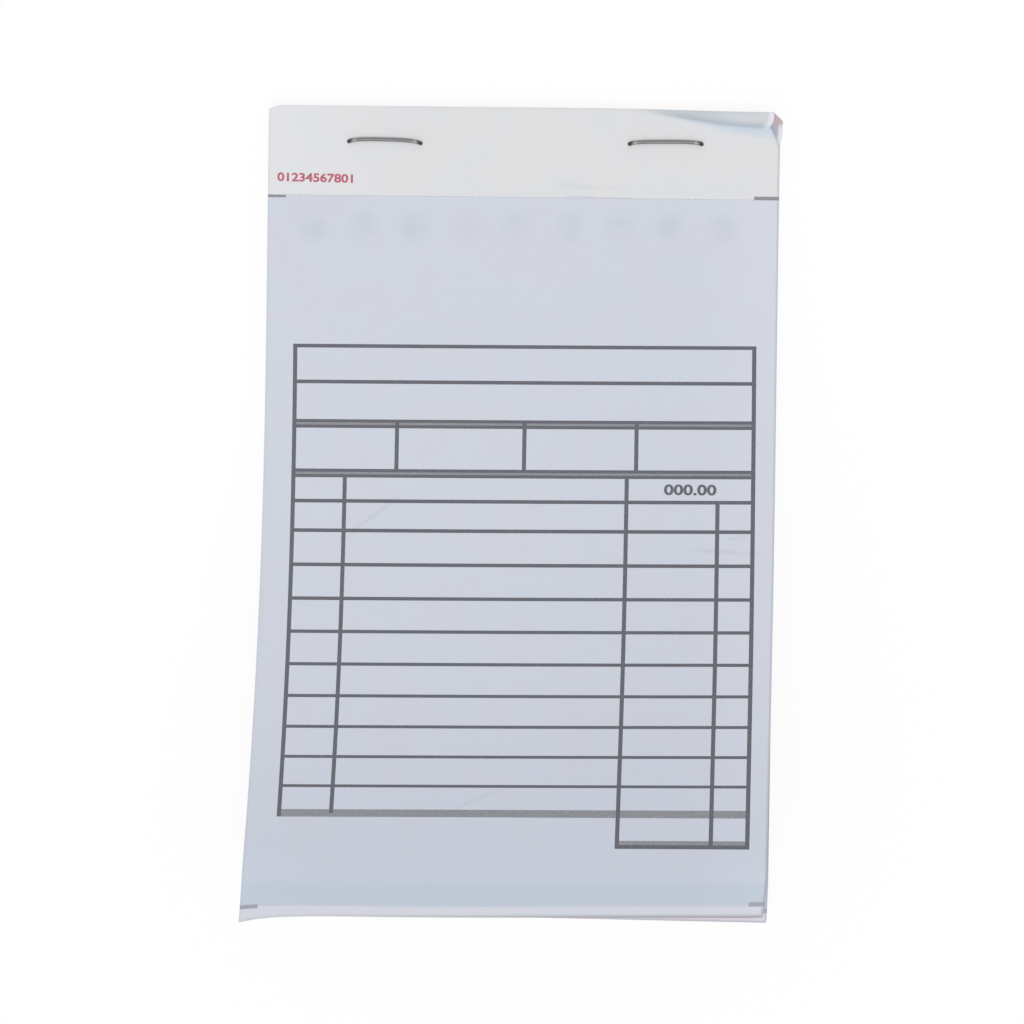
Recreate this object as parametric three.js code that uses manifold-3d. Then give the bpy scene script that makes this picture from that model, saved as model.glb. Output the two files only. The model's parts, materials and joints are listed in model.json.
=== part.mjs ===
// Carbon order pad: sets of two sheets, a white original and a pink copy, wire-stitched to a card.
// Millimetres. X runs across the pad, +Y towards its stitched head and +Z up, and the origin is
// the middle of the backing board's underside.
//
// Each sheet is perforated across below the stitches, which parts it into a stub, held by the
// wire, and a leaf, which turns up about the perforation. The upper leaves are curled.

import * as THREE from 'three';
import { mergeVertices } from 'three/addons/utils/BufferGeometryUtils.js';
import Module from 'manifold-3d';

const wasm = await Module();
wasm.setup();

// The pad
const padWidth = 99.4;
const padLength = 157.5;
const boardThickness = 1.2;
const setCount = 12;
const sheetThickness = 0.08;
const sheetClearance = 0.03;

// The perforation that parts each sheet
const stubDepth = 17.45;
const perforationGap = 0.3;

// The curl of the upper leaves: an arc that starts on a slanted line across the page
const curlSlant = 18; // degrees that the bend is turned from the page's own length
const curlStart = 28; // from the head, along the curl
const curlArc = 97.5;
const curlRadius = 240;
const curlFacets = 10;
const curledLeaves = 8;
const curlLossPerLeaf = 0.01; // how much less each next leaf curls than the one above it
const restCurl = 0.1; // share of the curl that the uppermost flat leaf keeps

// The corner of the uppermost stubs that is bent up, about rulings that fan out from one point
const bentStubs = 6;
const bendPoint = { fromSide: 29.8, pastHead: 0.6 };
const bendFolds = [
  { angle: -13.6, slope: 0.2 },
  { angle: -11.2, slope: 0.2 },
  { angle: -9.2, slope: 0.25 },
  { angle: -7.6, slope: -0.55 }, // the crease, past which the strip is nearly level again
];

// The wire stitches
const wireDiameter = 0.7;
const crownSpan = 14;
const crownClearance = 0.05;
const legClearance = 0.1;
const clinchLength = 4.5;
const clinchClearance = 0.05;
const wireBend = 0.55;
const wireSides = 8;
// bow is how far a crown bends towards the head
const stitches = [
  { name: 'staple_left', side: -1, fromSide: 22.7, fromHead: 7.07, tilt: -0.95, bow: 0.5 },
  { name: 'staple_right', side: 1, fromSide: 22.1, fromHead: 6.8, tilt: 0.5, bow: 0.35 },
];

// Places worked out from the sizes above
const sheetCount = 2 * setCount;
const sheetPitch = sheetThickness + sheetClearance;
const headEdge = padLength / 2;
const footEdge = -padLength / 2;
const perforationLine = headEdge - stubDepth;
const firstSheet = boardThickness + sheetClearance;
const stackTop = firstSheet + (sheetCount - 1) * sheetPitch + sheetThickness;
const wireRadius = wireDiameter / 2;
const legHoleRadius = (wireRadius + legClearance) / Math.cos(Math.PI / wireSides);
const clinchHeight = clinchClearance + wireRadius;

const paper = { roughness: 0.85, metalness: 0 };
const finishes = {
  original: { color: 0xd3d7e0, ...paper },
  copy: { color: 0xe6bcc4, ...paper },
  board: { color: 0xb4a68f, roughness: 0.95, metalness: 0 },
  wire: { color: 0x8c8e90, roughness: 0.35, metalness: 1 },
};

function meshOf(name, geometry, finish) {
  const mesh = new THREE.Mesh(geometry, new THREE.MeshStandardMaterial(finishes[finish]));
  mesh.name = name;
  return mesh;
}

// Joining and cutting of solids

function toSolid(geometry) {
  const bare = geometry.clone();
  bare.deleteAttribute('normal');
  bare.deleteAttribute('uv');
  const merged = mergeVertices(bare, 1e-4);
  return new wasm.Manifold(new wasm.Mesh({
    numProp: 3,
    vertProperties: new Float32Array(merged.attributes.position.array),
    triVerts: new Uint32Array(merged.index.array),
  }));
}

function toGeometry(solid) {
  const mesh = solid.getMesh();
  const geometry = new THREE.BufferGeometry();
  geometry.setAttribute('position', new THREE.BufferAttribute(mesh.vertProperties, 3));
  geometry.setIndex(new THREE.BufferAttribute(mesh.triVerts, 1));
  return geometry;
}

// A sheet that bends along straight lines

// The part of a convex outline on the side of a line where side(point) isn't above zero.
function clip(outline, side) {
  const kept = [];
  outline.forEach((from, i) => {
    const to = outline[(i + 1) % outline.length];
    const a = side(from);
    const b = side(to);
    if (a <= 0) kept.push(from);
    if ((a < 0 && b > 0) || (a > 0 && b < 0)) kept.push(from.clone().lerp(to, a / (a - b)));
  });
  return kept;
}

// The outline cut along its fold lines, in order. Each fold is a signed distance from its line.
function cellsBetween(outline, folds) {
  const cells = [];
  let rest = outline;
  for (const fold of folds) {
    cells.push(clip(rest, fold));
    rest = clip(rest, (point) => -fold(point));
  }
  cells.push(rest);
  return cells.filter((cell) => cell.length > 2);
}

// A closed sheet. place() gives the height and place of the underside of each flat point.
// The holes lie in the first cell, which is the one that stays flat.
function sheetGeometry(outline, holes, folds, place) {
  const key = (point) => `${point.x.toFixed(5)} ${point.y.toFixed(5)}`;
  const up = new THREE.Vector3(0, 0, sheetThickness);
  const positions = [];
  const rim = new Map();
  const addTriangle = (...corners) => corners.forEach((corner) => positions.push(...corner));
  cellsBetween(outline, folds).forEach((cell, i) => {
    const inside = i === 0 ? holes : [];
    const points = [...cell, ...inside.flat()];
    for (const face of THREE.ShapeUtils.triangulateShape(cell, inside)) {
      const flat = face.map((index) => points[index]);
      const low = flat.map(place);
      const high = low.map((corner) => corner.clone().add(up));
      addTriangle(...high);
      addTriangle(...low.reverse());
      flat.forEach((from, k) => {
        const to = flat[(k + 1) % 3];
        const back = `${key(to)} ${key(from)}`;
        if (rim.has(back)) rim.delete(back);
        else rim.set(`${key(from)} ${key(to)}`, [from, to]);
      });
    }
  });
  for (const [from, to] of rim.values()) {
    const lowFrom = place(from);
    const lowTo = place(to);
    const highTo = lowTo.clone().add(up);
    addTriangle(lowFrom, lowTo, highTo);
    addTriangle(lowFrom, highTo, lowFrom.clone().add(up));
  }
  const geometry = new THREE.BufferGeometry();
  geometry.setAttribute('position', new THREE.Float32BufferAttribute(positions, 3));
  return mergeVertices(geometry, 1e-5);
}

function rectangle(lowY, highY) {
  const side = padWidth / 2;
  return [[-side, lowY], [side, lowY], [side, highY], [-side, highY]]
    .map(([x, y]) => new THREE.Vector2(x, y));
}

// The leaf below the perforation. share is how much of the full curl it has.
function leafGeometry(height, share) {
  const slant = THREE.MathUtils.degToRad(curlSlant);
  const along = new THREE.Vector2(Math.sin(slant), -Math.cos(slant));
  const head = new THREE.Vector2(0, headEdge);
  const distance = (point) => point.clone().sub(head).dot(along);
  const folds = [];
  for (let i = 0; share > 0 && i <= curlFacets; i += 1) {
    folds.push((point) => distance(point) - curlStart - (i * curlArc) / curlFacets);
  }
  const place = (point) => {
    if (!share) return new THREE.Vector3(point.x, point.y, height);
    const radius = curlRadius / share;
    const past = distance(point) - curlStart;
    const turn = Math.min(Math.max(past, 0), curlArc) / radius;
    const straight = Math.max(past - curlArc, 0);
    const reach = Math.min(past, 0) + radius * Math.sin(turn) + straight * Math.cos(turn);
    const rise = radius * (1 - Math.cos(turn)) + straight * Math.sin(turn);
    const moved = point.clone().addScaledVector(along, reach - past);
    return new THREE.Vector3(moved.x, moved.y, height + rise);
  };
  return sheetGeometry(rectangle(footEdge, perforationLine - perforationGap / 2), [], folds, place);
}

// The stub above the perforation, with a hole for each leg of the stitches.
// share is how much of the full bend its corner has.
function stubGeometry(height, share) {
  const from = new THREE.Vector2(padWidth / 2 - bendPoint.fromSide, headEdge + bendPoint.pastHead);
  const bends = share > 0 ? bendFolds.map(({ angle, slope }) => {
    const turned = THREE.MathUtils.degToRad(angle);
    const across = new THREE.Vector2(-Math.sin(turned), Math.cos(turned));
    return { distance: (point) => point.clone().sub(from).dot(across), slope: slope * share };
  }) : [];
  const place = (point) => {
    const rise = bends.reduce((sum, { distance, slope }) => sum + slope * Math.max(distance(point), 0), 0);
    return new THREE.Vector3(point.x, point.y, height + rise);
  };
  const holes = stitches.flatMap((stitch) => legPlaces(stitch).map(legHole));
  const outline = rectangle(perforationLine + perforationGap / 2, headEdge);
  return sheetGeometry(outline, holes, bends.map(({ distance }) => distance), place);
}

// The wire stitches

// The way a stitch's crown runs, its middle, and where its two legs go down.
function crownWay(stitch) {
  const tilt = THREE.MathUtils.degToRad(stitch.tilt);
  return new THREE.Vector2(Math.cos(tilt), Math.sin(tilt));
}

function crownMiddle(stitch) {
  return new THREE.Vector2(stitch.side * (padWidth / 2 - stitch.fromSide), headEdge - stitch.fromHead);
}

function legPlaces(stitch) {
  return [-1, 1].map((end) => crownMiddle(stitch).addScaledVector(crownWay(stitch), (end * crownSpan) / 2));
}

function legHole(place) {
  return Array.from({ length: wireSides }, (_, i) => {
    const angle = (-2 * Math.PI * i) / wireSides;
    return new THREE.Vector2(Math.cos(angle), Math.sin(angle)).multiplyScalar(legHoleRadius).add(place);
  });
}

// A wire of round section along a path, with flat ends.
function wireGeometry(path, radius) {
  const ways = path.map((point, i) => {
    const before = path[Math.max(i - 1, 0)];
    const after = path[Math.min(i + 1, path.length - 1)];
    return after.clone().sub(before).normalize();
  });
  const side = new THREE.Vector3(0, 0, 1).cross(ways[0]).normalize();
  const positions = [];
  const index = [];
  path.forEach((point, i) => {
    if (i > 0) side.applyQuaternion(new THREE.Quaternion().setFromUnitVectors(ways[i - 1], ways[i]));
    const other = ways[i].clone().cross(side);
    for (let k = 0; k < wireSides; k += 1) {
      const angle = (2 * Math.PI * k) / wireSides;
      const corner = point.clone().addScaledVector(side, radius * Math.cos(angle))
        .addScaledVector(other, radius * Math.sin(angle));
      positions.push(...corner);
      const next = (k + 1) % wireSides;
      const ring = i * wireSides;
      if (i > 0) {
        index.push(ring + k, ring - wireSides + k, ring - wireSides + next);
        index.push(ring + k, ring - wireSides + next, ring + next);
      }
    }
  });
  const last = (path.length - 1) * wireSides;
  for (let k = 1; k < wireSides - 1; k += 1) {
    index.push(0, k + 1, k);
    index.push(last, last + k, last + k + 1);
  }
  const geometry = new THREE.BufferGeometry();
  geometry.setAttribute('position', new THREE.Float32BufferAttribute(positions, 3));
  geometry.setIndex(index);
  return geometry;
}

// One stitch: a crown over the stubs, two legs through the stack and the board, and their
// ends clinched inwards under the board. Its corners are rounded.
function stapleGeometry(stitch) {
  const crownHeight = stackTop + crownClearance + wireRadius;
  const half = crownSpan / 2;
  const corners = [
    [-half + clinchLength, clinchHeight], [-half, clinchHeight], [-half, crownHeight],
    [half, crownHeight], [half, clinchHeight], [half - clinchLength, clinchHeight],
  ].map(([along, height]) => new THREE.Vector2(along, height));
  const outline = new THREE.Path();
  outline.moveTo(corners[0].x, corners[0].y);
  for (let i = 1; i < corners.length - 1; i += 1) {
    const before = corners[i - 1].clone().sub(corners[i]).setLength(wireBend).add(corners[i]);
    const after = corners[i + 1].clone().sub(corners[i]).setLength(wireBend).add(corners[i]);
    outline.lineTo(before.x, before.y);
    outline.quadraticCurveTo(corners[i].x, corners[i].y, after.x, after.y);
  }
  const end = corners[corners.length - 1];
  outline.lineTo(end.x, end.y);
  const bendSteps = 4;
  const crownSteps = 12;
  const flat = outline.curves.flatMap((curve, i) => {
    const isCrown = curve.isLineCurve && curve.v1.y === crownHeight && curve.v2.y === crownHeight;
    const steps = curve.isLineCurve ? (isCrown ? crownSteps : 1) : bendSteps;
    return curve.getPoints(steps).slice(i === 0 ? 0 : 1);
  });
  const way = crownWay(stitch);
  const bowWay = new THREE.Vector2(-way.y, way.x);
  const path = flat.map(({ x: along, y: height }) => {
    const raised = Math.max(0, (height - crownHeight + wireBend) / wireBend);
    const bow = raised * stitch.bow * (1 - (along / half) ** 4);
    const place = crownMiddle(stitch).addScaledVector(way, along).addScaledVector(bowWay, bow);
    return new THREE.Vector3(place.x, place.y, height);
  });
  return wireGeometry(path, wireRadius);
}

// The backing board

// A plain card with a hole for each leg, and a groove in its underside that takes the clinch,
// so that the board rests flat.
function boardGeometry() {
  const card = new THREE.BoxGeometry(padWidth, padLength, boardThickness);
  let solid = toSolid(card.translate(0, 0, boardThickness / 2));
  const grooveWidth = wireDiameter + 2 * legClearance;
  const grooveDepth = clinchHeight + wireRadius + clinchClearance;
  for (const stitch of stitches) {
    legPlaces(stitch).forEach((place, i) => {
      const inwards = i === 0 ? 1 : -1;
      const length = clinchLength + 2 * legClearance + wireRadius;
      const start = -wireRadius - legClearance;
      const groove = new THREE.BoxGeometry(length, grooveWidth, 2 * grooveDepth)
        .translate(inwards * (start + length / 2), 0, 0)
        .rotateZ(THREE.MathUtils.degToRad(stitch.tilt))
        .translate(place.x, place.y, 0);
      const hole = new THREE.CylinderGeometry(legHoleRadius, legHoleRadius, 3 * boardThickness, wireSides)
        .rotateX(Math.PI / 2)
        .translate(place.x, place.y, 0);
      solid = solid.subtract(toSolid(groove)).subtract(toSolid(hole));
    });
  }
  return toGeometry(solid);
}

// The whole pad

const pad = new THREE.Group();
pad.add(meshOf('backing_board', boardGeometry(), 'board'));
for (const stitch of stitches) pad.add(meshOf(stitch.name, stapleGeometry(stitch), 'wire'));

for (let fromTop = 0; fromTop < sheetCount; fromTop += 1) {
  const height = firstSheet + (sheetCount - 1 - fromTop) * sheetPitch;
  const kind = fromTop % 2 === 0 ? 'original' : 'copy';
  const name = `${kind}_${String(Math.floor(fromTop / 2) + 1).padStart(2, '0')}`;
  const flatLeaves = sheetCount - curledLeaves;
  const curl = fromTop < curledLeaves
    ? 1 - fromTop * curlLossPerLeaf
    : restCurl * (1 - (fromTop - curledLeaves) / flatLeaves) ** 2;
  const bend = Math.max(0, 1 - fromTop / bentStubs);
  pad.add(meshOf(`${name}_stub`, stubGeometry(height, bend), kind));
  pad.add(meshOf(`${name}_leaf`, leafGeometry(height, curl), kind));
}

export default pad;
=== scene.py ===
"""A carbon order pad as it lies on a table: stitched sets of a white original and a pink copy,
perforated below the stitches, whose upper leaves are curled up. Sizes are in millimetres
unless a name says otherwise. A flat sheet is measured across from its middle and down from
its head, and becomes metres when its mesh is made."""

import json
import math
from functools import partialmethod

import bmesh
import bpy
import numpy as np
from mathutils import Matrix, Vector


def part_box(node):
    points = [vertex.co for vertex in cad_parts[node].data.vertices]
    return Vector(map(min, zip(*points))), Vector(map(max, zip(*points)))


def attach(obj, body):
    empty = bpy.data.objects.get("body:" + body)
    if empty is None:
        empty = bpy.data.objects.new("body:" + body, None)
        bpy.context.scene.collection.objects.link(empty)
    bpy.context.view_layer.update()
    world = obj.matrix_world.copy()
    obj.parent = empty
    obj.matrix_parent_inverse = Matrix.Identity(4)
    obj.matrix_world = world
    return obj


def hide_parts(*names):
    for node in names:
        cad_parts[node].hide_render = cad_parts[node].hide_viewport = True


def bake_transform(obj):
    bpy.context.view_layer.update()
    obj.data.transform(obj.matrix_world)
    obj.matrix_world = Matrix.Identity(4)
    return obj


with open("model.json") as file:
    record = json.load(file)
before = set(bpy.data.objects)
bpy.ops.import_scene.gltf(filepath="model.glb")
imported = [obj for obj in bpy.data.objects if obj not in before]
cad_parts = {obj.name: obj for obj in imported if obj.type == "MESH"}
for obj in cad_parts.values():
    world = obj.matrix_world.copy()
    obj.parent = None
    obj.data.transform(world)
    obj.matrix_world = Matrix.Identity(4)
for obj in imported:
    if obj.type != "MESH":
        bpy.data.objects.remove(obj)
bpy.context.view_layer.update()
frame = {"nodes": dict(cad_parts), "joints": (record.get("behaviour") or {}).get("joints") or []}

MM = 0.001

# The pad, from the frame
BOARD_LOW, BOARD_HIGH = (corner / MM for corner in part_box("backing_board"))
SIDE = BOARD_HIGH.x
HEAD = BOARD_HIGH.y
LENGTH = BOARD_HIGH.y - BOARD_LOW.y
HINGE = Vector(frame["joints"][0]["pos_m"]) / MM
PERFORATION = HEAD - HINGE.y
SHEETS = len(frame["joints"])
SHEET_STEP = (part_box("original_01_stub")[0].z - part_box("copy_01_stub")[0].z) / MM
LOWEST_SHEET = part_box("copy_12_stub")[0].z / MM
THICKNESS = 0.08

# The curl of the leaves, as their solids have it
CURL_SLANT = math.radians(18)
CURL_START = 28
CURL_ARC = 97.5
CURL_RADIUS = 240
CURLED = 8
CURL_LOSS = 0.01
REST_CURL = 0.1

# The bent corner of the stubs: how many sheets it takes, where its crease and its bend start
# and end across the page, how far they lie from the head, and how steep the paper is there
BENT = 6
CREASE_FROM, CREASE_TO = 20.2, 46
CREASE_NEAR, CREASE_FAR = 0.45, 2.85
BEND_FROM, BEND_TO = 20, 48
BEND_DEPTH = 3.3
BEND_NARROW = 0.5
BEND_EASE = 12
BEND_SLOPE = 0.65
BEND_CRUMPLE = 1.6
LIP_SLOPE = 0.1

# The head's right half lies lower than a square page's would
HEAD_SKEW = 0.2
SKEW_FROM, SKEW_OVER, SKEW_REACH = 10, 35, 12

# The very corner: its size, how far the top original is rolled in, and most where its fold
# is, and how far the copy sticks out
EAR_ACROSS, EAR_DOWN = 5, 7.5
EAR_IN, EAR_FOLD, EAR_FOLD_DOWN = 1.2, 0.6, 2.9
EAR_OUT = 0.45

# How wide the crease's painted shade is above and below its line, how fast the painted shade of the slope
# grows, how far past the crease that goes, and over how far the lip beyond it, which carries painted shade
# and a painted highlight, sets in
CREASE_ABOVE, CREASE_BELOW = 0.7, 0.5
SLOPE_GROWTH, SLOPE_PAST = 1.6, 0.3
LIP_EASE = 0.6

# Worn corners at the head, as side, width and depth of what is missing: the left one, the
# right one, the top sheet's right one, and the card's, whose right half is worn as well
LEFT_WEAR = (-1, 1.9, 0.7)
RIGHT_WEAR = (1, 1.7, 1.7)
TOP_WEAR = (1, 0.4, 0.4)
BOARD_WEAR = (LEFT_WEAR, (1, 2.3, 2.3), (1, 35, 0.75))

# Handling: paper drawn in round the legs, and waves of the leaves, each as its share of the
# height, how far across and down one radian of it takes, and its start
DIMPLE_DEPTH, DIMPLE_SPREAD = 0.12, 1.8
WAVE_HEIGHT, WAVE_EASE = 0.1, 30
WAVES = ((1, 17, 31, 0.6), (0.6, -40, 12.5, 2.1), (0.5, 9, -22, 0))

# Foot corners pressed flat: how far, how wide and high they are, and the height of their tip
FOOT_PRESSED = 1.6
CORNER_WIDE, CORNER_HIGH, CORNER_TIP = 5.5, 11, 1.6

# The foot's edge: how low it lies at the left and how much higher at the right, where across
# that sets in and over how far, how high it reaches, and how much lower the left corner is
FOOT_LOW, FOOT_SKEW = 0.46, 0.96
FOOT_SKEW_FROM, FOOT_SKEW_OVER = -25, 70
FOOT_REACH, FOOT_EASE = 12, 9
CORNER_LOW = 0.9

# The right foot corner is drawn in: how far in curled and in flat leaves, and its size
FOOT_TUCK, LOWER_TUCK = 0.6, 0.3
TUCK_ACROSS, TUCK_DOWN = 5, 9

# The stitches, as their solids have them: side, distance from it and from the head, tilt, bow.
# A straight part that counts as long has more points
WIRE = 0.7
CROWN_SPAN = 14
CROWN_CLEARANCE = 0.05
CLINCH_LENGTH = 4.5
CLINCH_CLEARANCE = 0.05
WIRE_BEND, BEND_STEPS = 0.55, 9
LONG_WIRE, LONG_STEPS = 2, 24
STITCHES = {"staple_left": (-1, 22.7, 7.07, -0.95, 0.5), "staple_right": (1, 22.1, 6.8, 0.5, 0.35)}

# Along the crown from a leg: where the painted shade of the leg's hole ends, and where the painted glint on
# the shoulder starts and ends
LEG_SHADE_TO, LEG_SHADE_EASE = 0.75, 0.4
SHOULDER_FROM, SHOULDER_TO = 0.4, 1.7
SHOULDER_RISE, SHOULDER_FALL = 0.4, 0.5

# Slits of the perforation, and the room round a wire in its hole
SLITS = 71
SLIT_LENGTH = 0.95
SLIT_WIDTH = 0.04
HOLE_CLEARANCE = 0.02

# How the form lies on the page: turned a little and shifted, growing from the perforation,
# the foot and the sides inwards
PRINT_TURN = math.radians(0.35)
PRINT_SHIFT = -0.14
TURN_BELOW_HEAD, TURN_HEAD_EASE = 3, 20
TURN_ABOVE_FOOT, TURN_FOOT_EASE = 5.5, 6
TURN_SIDE_EASE = 3.5

# The printed form: where its lines lie and how thick they are
FRAME_LEFT, FRAME_RIGHT = -43.62, 45.69
FRAME_TOP, FRAME_FOOT, TOTAL_FOOT = 46.53, 137.9, 143.8
NAME_LINE = 53.52
CELL_HEAD, CELL_FOOT = 61.7, 71.38
CELL_DIVIDERS = (-23.47, 1.39, 23.12)
QUANTITY, PRICE, CENTS = -33.52, 21.36, 38.9
HEADING_FOOT = 76.82
ROWS = (82.6, 89.3, 95.92, 102.4, 108.77, 114.98, 121.0, 126.87, 132.59)
FRAME_LINE, DOWN_LINE, LINE, TWIN_LINE = 0.82, 0.8, 0.72, 0.62
TWIN_GAP = 1.08
THIN_FROM, THIN_RATE = 86, 0.0034
FOOT_LINE = 1.47
TOTAL_PALE, TOTAL_DARK = 0.8, 0.75

# The marks that a sheet's faces carry, which are the places of its finishes
PAPER, REVERSE, FORM_INK, NUMBER_INK, PALE_INK, FAINT_INK = range(6)

# Register ticks: left, right, down, thickness and ink
TICKS = ((-50, -46.2, 17.73, 0.52, PALE_INK), (44.9, 50, 17.13, 0.7, PALE_INK),
         (-50, -46.2, 155.6, 0.75, FAINT_INK), (46.65, 50, 155.25, 0.85, FAINT_INK))

# The figures: their boxes as left, right, top and foot, how far the number's line falls, how
# much bolder they are than the font's, how high their ink lies on the paper, and the share
# of that by which it goes into it
NUMBER_BOX = (-47.9, -33.1, 13.08, 14.85)
NUMBER_FALL = 0.22
FIRST_NUMBER = 1234567801
HEADING_BOX = (28.4, 38.5, 73.05, 75.2)
HEADING_FIGURES = "000.00"
BOLDNESS = 0.03
INK_HEIGHT, INK_SUNK = 0.016, 0.6

# Length of the sheets' faces where the paper curls and where it is nearly flat, and how near
# an even step may come to a line of the form
FINE_STEP, COARSE_STEP = 2.5, 8.0
MARK_ROOM = 0.3

# One unit of the page map, how far the paper bends on each side of the perforation, and how
# far from it the curl takes over
PAGE_UNIT = 160
CURL_FADE = 6


def smooth(x):
    """A soft step from 0 to 1."""
    x = np.clip(x, 0, 1)
    return x * x * (3 - 2 * x)


# Formulas in node trees


def put(tree, value, socket):
    """Sets a socket, or links it if the value is worked out by the tree."""
    if isinstance(value, Formula):
        value = value.socket
    if isinstance(value, bpy.types.NodeSocket):
        tree.links.new(value, socket)
    elif value is not None:
        socket.default_value = value


def node(tree, kind, inputs=(), **settings):
    """A new node with its settings and inputs, which are named or counted."""
    made = tree.nodes.new(kind)
    for name, value in settings.items():
        setattr(made, name, value)
    for key, value in dict(inputs).items():
        put(tree, value, made.inputs[key])
    return made


class Formula:
    """A number worked out by a node tree, so that its sums read as written ones."""

    def __init__(self, tree, socket):
        self.tree = tree
        self.socket = socket

    def do(self, operation, *values):
        made = node(self.tree, "ShaderNodeMath", enumerate(values), operation=operation)
        return Formula(self.tree, made.outputs[0])

    def of_self(self, operation, *others):
        return self.do(operation, self, *others)

    def of_other(self, operation, other):
        return self.do(operation, other, self)

    __add__ = partialmethod(of_self, "ADD")
    __radd__ = partialmethod(of_other, "ADD")
    __sub__ = partialmethod(of_self, "SUBTRACT")
    __rsub__ = partialmethod(of_other, "SUBTRACT")
    __mul__ = partialmethod(of_self, "MULTIPLY")
    __rmul__ = partialmethod(of_other, "MULTIPLY")
    __truediv__ = partialmethod(of_self, "DIVIDE")
    least = partialmethod(of_self, "MINIMUM")
    most = partialmethod(of_self, "MAXIMUM")
    sine = partialmethod(of_self, "SINE")
    cosine = partialmethod(of_self, "COSINE")
    size = partialmethod(of_self, "ABSOLUTE")
    root = partialmethod(of_self, "SQRT")

    def wrapped(self, low, high):
        return self.do("WRAP", self, high, low)

    def between(self, low, high, start=0.0, end=1.0):
        """A soft step from start to end as this goes from low to high."""
        made = node(self.tree, "ShaderNodeMapRange",
                    {"Value": self, "From Min": low, "From Max": high, "To Min": start, "To Max": end},
                    interpolation_type="SMOOTHSTEP")
        return Formula(self.tree, made.outputs["Result"])


GEOMETRY = {"Geometry": "NodeSocketGeometry"}


def numbers(**defaults):
    """A group's inputs for numbers, named by words joined with _."""
    return {label.replace("_", " "): ("NodeSocketFloat", value) for label, value in defaults.items()}


def new_group(name, kind, inputs, outputs):
    """A node group with named inputs and outputs, and its two end nodes."""
    tree = bpy.data.node_groups.new(name, kind)
    for label, (socket_type, value) in inputs.items():
        socket = tree.interface.new_socket(name=label, in_out="INPUT", socket_type=socket_type)
        if value is not None:
            socket.default_value = value
    for label, socket_type in outputs.items():
        tree.interface.new_socket(name=label, in_out="OUTPUT", socket_type=socket_type)
    return tree, tree.nodes.new("NodeGroupInput"), tree.nodes.new("NodeGroupOutput")


def end_tree(tree, geometry, material, result):
    """Ends a geometry tree in Realize Instances and Set Material."""
    real = node(tree, "GeometryNodeRealizeInstances", {"Geometry": geometry})
    coloured = node(tree, "GeometryNodeSetMaterial", {"Geometry": real.outputs[0], "Material": material})
    tree.links.new(coloured.outputs[0], result.inputs[0])
    return tree


def add_tree(piece, tree, values):
    """Gives an object a geometry tree as its modifier, with the inputs that values names."""
    modifier = piece.modifiers.new(tree.name, "NODES")
    modifier.node_group = tree
    for item in tree.interface.items_tree:
        if item.in_out == "INPUT" and item.name in values:
            modifier[item.identifier] = values[item.name]


def plain_mesh(piece):
    """The mesh that an object's curve or modifiers end in."""
    bpy.context.view_layer.update()
    graph = bpy.context.evaluated_depsgraph_get()
    return bpy.data.meshes.new_from_object(piece.evaluated_get(graph))


def take_result(piece, name):
    """Turns an object's modifiers into its mesh and removes them."""
    mesh = plain_mesh(piece)
    mesh.name = name
    piece.modifiers.clear()
    piece.data = mesh
    return piece


def new_object(name, mesh):
    made = bpy.data.objects.new(name, mesh)
    bpy.context.scene.collection.objects.link(made)
    return made


# The printed form, as rectangles of ink: left, right, top, foot


def line_across(v, left, right, thick):
    return (left, right, v - thick / 2, v + thick / 2)


def line_down(u, top, foot, thick):
    return (u - thick / 2, u + thick / 2, top, foot)


def printed_lines():
    """All lines of the form, each with its ink."""
    left, right = FRAME_LEFT - FRAME_LINE / 2, FRAME_RIGHT + FRAME_LINE / 2
    dark, pale = [line_across(FRAME_TOP, left, right, LINE)], []
    for v in (NAME_LINE, HEADING_FOOT, *ROWS):
        dark.append(line_across(v, FRAME_LEFT, FRAME_RIGHT, LINE - THIN_RATE * max(0, v - THIN_FROM)))
    for v in (CELL_HEAD, CELL_FOOT):
        dark += [line_across(v + side * TWIN_GAP / 2, FRAME_LEFT, FRAME_RIGHT, TWIN_LINE)
                 for side in (-1, 1)]
        pale.append(line_across(v, FRAME_LEFT, FRAME_RIGHT, TWIN_GAP))
    pale.append(line_across(FRAME_FOOT, left, right, FOOT_LINE))
    pale.append(line_across(TOTAL_FOOT - TOTAL_PALE / 2, PRICE, FRAME_RIGHT, TOTAL_PALE))
    dark.append(line_across(TOTAL_FOOT + TOTAL_DARK / 2, PRICE - DOWN_LINE / 2, right, TOTAL_DARK))
    columns = CELL_FOOT + TWIN_GAP / 2
    dark.append(line_down(FRAME_LEFT, FRAME_TOP, FRAME_FOOT + FOOT_LINE / 2, FRAME_LINE))
    dark.append(line_down(FRAME_RIGHT, FRAME_TOP, TOTAL_FOOT + TOTAL_DARK, FRAME_LINE))
    dark.append(line_down(QUANTITY, columns, FRAME_FOOT, DOWN_LINE))
    dark.append(line_down(PRICE, columns, TOTAL_FOOT + TOTAL_DARK, DOWN_LINE))
    dark.append(line_down(CENTS, HEADING_FOOT, TOTAL_FOOT, DOWN_LINE))
    cells = (CELL_HEAD - TWIN_GAP / 2, CELL_FOOT - TWIN_GAP / 2)
    dark += [line_down(u, *cells, DOWN_LINE) for u in CELL_DIVIDERS]
    ticks = [(*line_across(v, left, right, thick), tone) for left, right, v, thick, tone in TICKS]
    return [(*line, FORM_INK) for line in dark] + [(*line, PALE_INK) for line in pale] + ticks


def turned_print(u, v):
    """Where a point of the form comes to lie. The page's edges, stub and foot margin stay."""
    inside = smooth((v - PERFORATION - TURN_BELOW_HEAD) / TURN_HEAD_EASE)
    inside = inside * smooth((LENGTH - TURN_ABOVE_FOOT - v) / TURN_FOOT_EASE)
    beside = inside * smooth((SIDE - np.abs(u)) / TURN_SIDE_EASE)
    turn = math.sin(PRINT_TURN)
    return u + beside * (PRINT_SHIFT + (v - LENGTH / 2) * turn), v - inside * u * turn


# The shape of a sheet before it curls


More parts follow.
